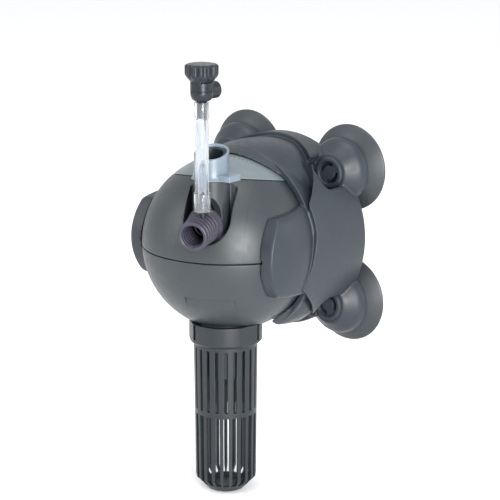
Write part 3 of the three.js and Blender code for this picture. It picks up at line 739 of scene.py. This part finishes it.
small = 0.2
valve = carve("air_valve_body", valve_shape, (TUBE_X - 6, TUBE_Y - 6, TUBE_HIGH - 7.5),
              (TUBE_X + 9, TUBE_Y + 10, KNOB_LOW), small, IN_PUMP)
dress(valve, "air_valve", DARK_MAT, "dark_plastic", "valve_body")
knob = carve("air_valve_knob", knob_shape, (TUBE_X - 8, TUBE_Y - 8, KNOB_LOW - 3),
             (TUBE_X + 8, TUBE_Y + 8, KNOB_HIGH + 0.3), small, IN_PUMP)
dress(knob, "knob", DARK_MAT, "dark_plastic", "valve_knob")


# ---------- strainer ----------
BASKET_R = 14.4
LOWER_TOP = -81.5                # upper end of the lower row of slots
UPPER_BOTTOM = -79
UPPER_SLOT_W = 1.5
PIPE_R = 12.2
COLLAR_R = 16.5


def basket_shape(x, y, z):
    y = y - STRAINER_Y
    beside = np.hypot(x, y)
    taper = BASKET_R + 0.8 * np.clip((z - BASKET_LOW) / 73, 0, 1)
    foot = ((beside - BASKET_R) * 6 + (BASKET_LOW + 6 - z) * 5.9) / 8.4
    outer = smax(smax(beside - taper, foot, 0.4), BASKET_LOW - z, 0.5)
    body = smax(outer, -outer - 2.0, 0.1)
    body = smax(body, z - COLLAR_LOW - 8, 0.3)
    pitch = 2 * math.pi / SLOT_COUNT
    around = wrap(np.arctan2(y, x) + math.radians(SLOT_TURN), pitch)
    rows = ((BASKET_LOW + 3.2, LOWER_TOP, SLOT_W), (UPPER_BOTTOM, COLLAR_LOW - 2, UPPER_SLOT_W))
    for bottom, top, width in rows:
        slot = round_box(beside * np.sin(around), z - (bottom + top) / 2,
                         width / 2, (top - bottom) / 2, 0.5)
        body = cut(body, np.maximum(slot, 9.5 - beside), 0.25)
    # An inner pipe carries the water up to the casing from a third of the way down.
    pipe = round_box(beside - PIPE_R, z - (PIPE_LOW + COLLAR_LOW) / 2, 0.6,
                     (COLLAR_LOW - PIPE_LOW) / 2, 0.2)
    collar_web = round_box(beside - 13, z - COLLAR_LOW + 0.7, 1.4, 0.6, 0.1)
    return np.minimum(body, np.minimum(pipe, collar_web))


def collar_shape(x, y, z):
    y = y - STRAINER_Y
    beside = np.hypot(x, y)
    middle, half = (COLLAR_LOW + COLLAR_HIGH) / 2, (COLLAR_HIGH - COLLAR_LOW) / 2
    body = round_box(beside - COLLAR_R, z - middle, 1.0, half, 0.35)
    body = smax(body, (beside - 17.5 + (COLLAR_LOW + 1.3 - z)) * 0.7, 0.2)
    around = wrap(np.arctan2(y, x) - math.radians(-10.5), 2 * math.pi / 3)
    slot = np.maximum(np.abs(beside * np.sin(around)) - 0.9, COLLAR_LOW + 2.6 - z)
    body = cut(body, np.maximum(slot, -np.cos(around)), 0.2)
    # A flat on each of the three latch panels.
    flat = beside * np.cos(wrap(np.arctan2(y, x) - math.radians(-31), 2 * math.pi / 3)) - 16.75
    return smax(body, flat, 0.15)


basket = carve("strainer_cage", basket_shape, (-15.5, STRAINER_Y - 15.5, BASKET_LOW),
               (15.5, STRAINER_Y + 15.5, COLLAR_LOW + 8.2), 0.35, IN_PUMP)
dress(basket, "strainer", STRAINER_MAT, "dark_plastic", "strainer_basket")
collar = carve("strainer_ring", collar_shape, (-17.8, STRAINER_Y - 17.8, COLLAR_LOW),
               (17.8, STRAINER_Y + 17.8, COLLAR_HIGH), 0.3, IN_PUMP)
dress(collar, "strainer", STRAINER_MAT, "dark_plastic", "strainer_collar")

# ---------- CAD nodes that keep their shape ----------
STEEL_MAT = material("steel", (0.55, 0.56, 0.58), 0.3, grain=0.2, bump=0.08, Metallic=1.0)
CERAMIC_MAT = material("ceramic", (0.78, 0.77, 0.72), 0.25, spread=0.02, bump=0.05)
FERRITE_MAT = material("ferrite", (0.03, 0.03, 0.032), 0.55, grain=0.5, bump=0.4)
COPPER_MAT = material("copper", (0.42, 0.14, 0.05), 0.3, grain=0.25, bump=0.6, Metallic=0.9)
IMPELLER_MAT = material("impeller_plastic", (0.62, 0.64, 0.67), 0.4, spread=0.03, bump=0.15)
KEPT = {
    SEAL_MAT: ("seam_seal", "cable_gland", "upper_bush", "lower_bush"),
    DARK_MAT: ("rotor_well_plate", "impeller_housing", "inlet_plate"),
    STEEL_MAT: ("valve_needle", "plate_screw_1", "plate_screw_2", "plate_screw_3", "stator_core"),
    CERAMIC_MAT: ("pump_shaft",),
    FERRITE_MAT: ("rotor_magnet",),
    COPPER_MAT: ("stator_coil_left", "stator_coil_right"),
    IMPELLER_MAT: ("impeller",),
}
for mat, nodes in KEPT.items():
    for node in nodes:
        obj = frame["nodes"][node]
        obj.data.materials.clear()
        obj.data.materials.append(mat)

# ---------- floor, light and camera ----------
FLOOR_Z = (BALL.z + BASKET_LOW) * MM - 0.0005


def backdrop():
    """A pale flat floor under the object."""
    mat = bpy.data.materials.new("backdrop")
    mat.use_nodes = True
    shader = mat.node_tree.nodes["Principled BSDF"]
    shader.inputs["Base Color"].default_value = (0.93, 0.93, 0.94, 1)
    shader.inputs["Roughness"].default_value = 0.7
    bpy.ops.mesh.primitive_plane_add(size=12, location=(0, 0, FLOOR_Z))
    floor = bpy.context.object
    floor.name = "floor"
    floor.data.materials.append(mat)
    floor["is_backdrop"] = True


def softbox(name, place, target, size, power):
    light = bpy.data.lights.new(name, "AREA")
    light.shape = "RECTANGLE"
    light.size, light.size_y = size
    light.energy = power
    obj = bpy.data.objects.new(name, light)
    obj.location = place
    obj.rotation_euler = (Vector(target) - Vector(place)).to_track_quat("-Z", "Y").to_euler()
    bpy.context.scene.collection.objects.link(obj)


backdrop()
CENTRE = BALL * MM


def toward(azimuth, elevation, distance):
    """A place seen from the ball at these degrees, with 0 in front and 90 to the right."""
    az, el = math.radians(azimuth), math.radians(elevation)
    flat = Vector((math.sin(az), -math.cos(az), 0)) * math.cos(el)
    return CENTRE + (flat + Vector((0, 0, math.sin(el)))) * distance


softbox("key", toward(54, 10, 1.0), CENTRE, (0.35, 0.6), 15)
softbox("side", toward(125, 15, 1.0), CENTRE, (0.4, 0.6), 1.5)
softbox("fill", toward(-35, 25, 1.1), CENTRE, (0.5, 0.8), 5)
softbox("top", toward(30, 80, 1.1), CENTRE, (0.7, 0.7), 6)
world = bpy.data.worlds.new("studio")
world.use_nodes = True
world.node_tree.nodes["Background"].inputs["Color"].default_value = (0.97, 0.98, 1, 1)
world.node_tree.nodes["Background"].inputs["Strength"].default_value = 1.0
bpy.context.scene.world = world
bpy.context.scene.view_settings.view_transform = "Standard"

VIEW_AZIMUTH = math.radians(39)
VIEW_ELEVATION = math.radians(14)
VIEW_DISTANCE = 1.045
AIM_RIGHT = 0.00926              # the picture's middle, to the right of the ball's centre
AIM_DOWN = 0.00418
across = Vector((math.cos(VIEW_AZIMUTH), math.sin(VIEW_AZIMUTH), 0))
back = Vector((math.sin(VIEW_AZIMUTH) * math.cos(VIEW_ELEVATION),
               -math.cos(VIEW_AZIMUTH) * math.cos(VIEW_ELEVATION), math.sin(VIEW_ELEVATION)))
upward = back.cross(across)
camera = bpy.data.objects.new("camera", bpy.data.cameras.new("camera"))
camera.data.lens = 158.4
camera.data.sensor_width = 36
camera.location = CENTRE + back * VIEW_DISTANCE + across * AIM_RIGHT - upward * AIM_DOWN
camera.rotation_euler = back.to_track_quat("Z", "Y").to_euler()
bpy.context.scene.collection.objects.link(camera)
bpy.context.scene.camera = camera

low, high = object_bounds()
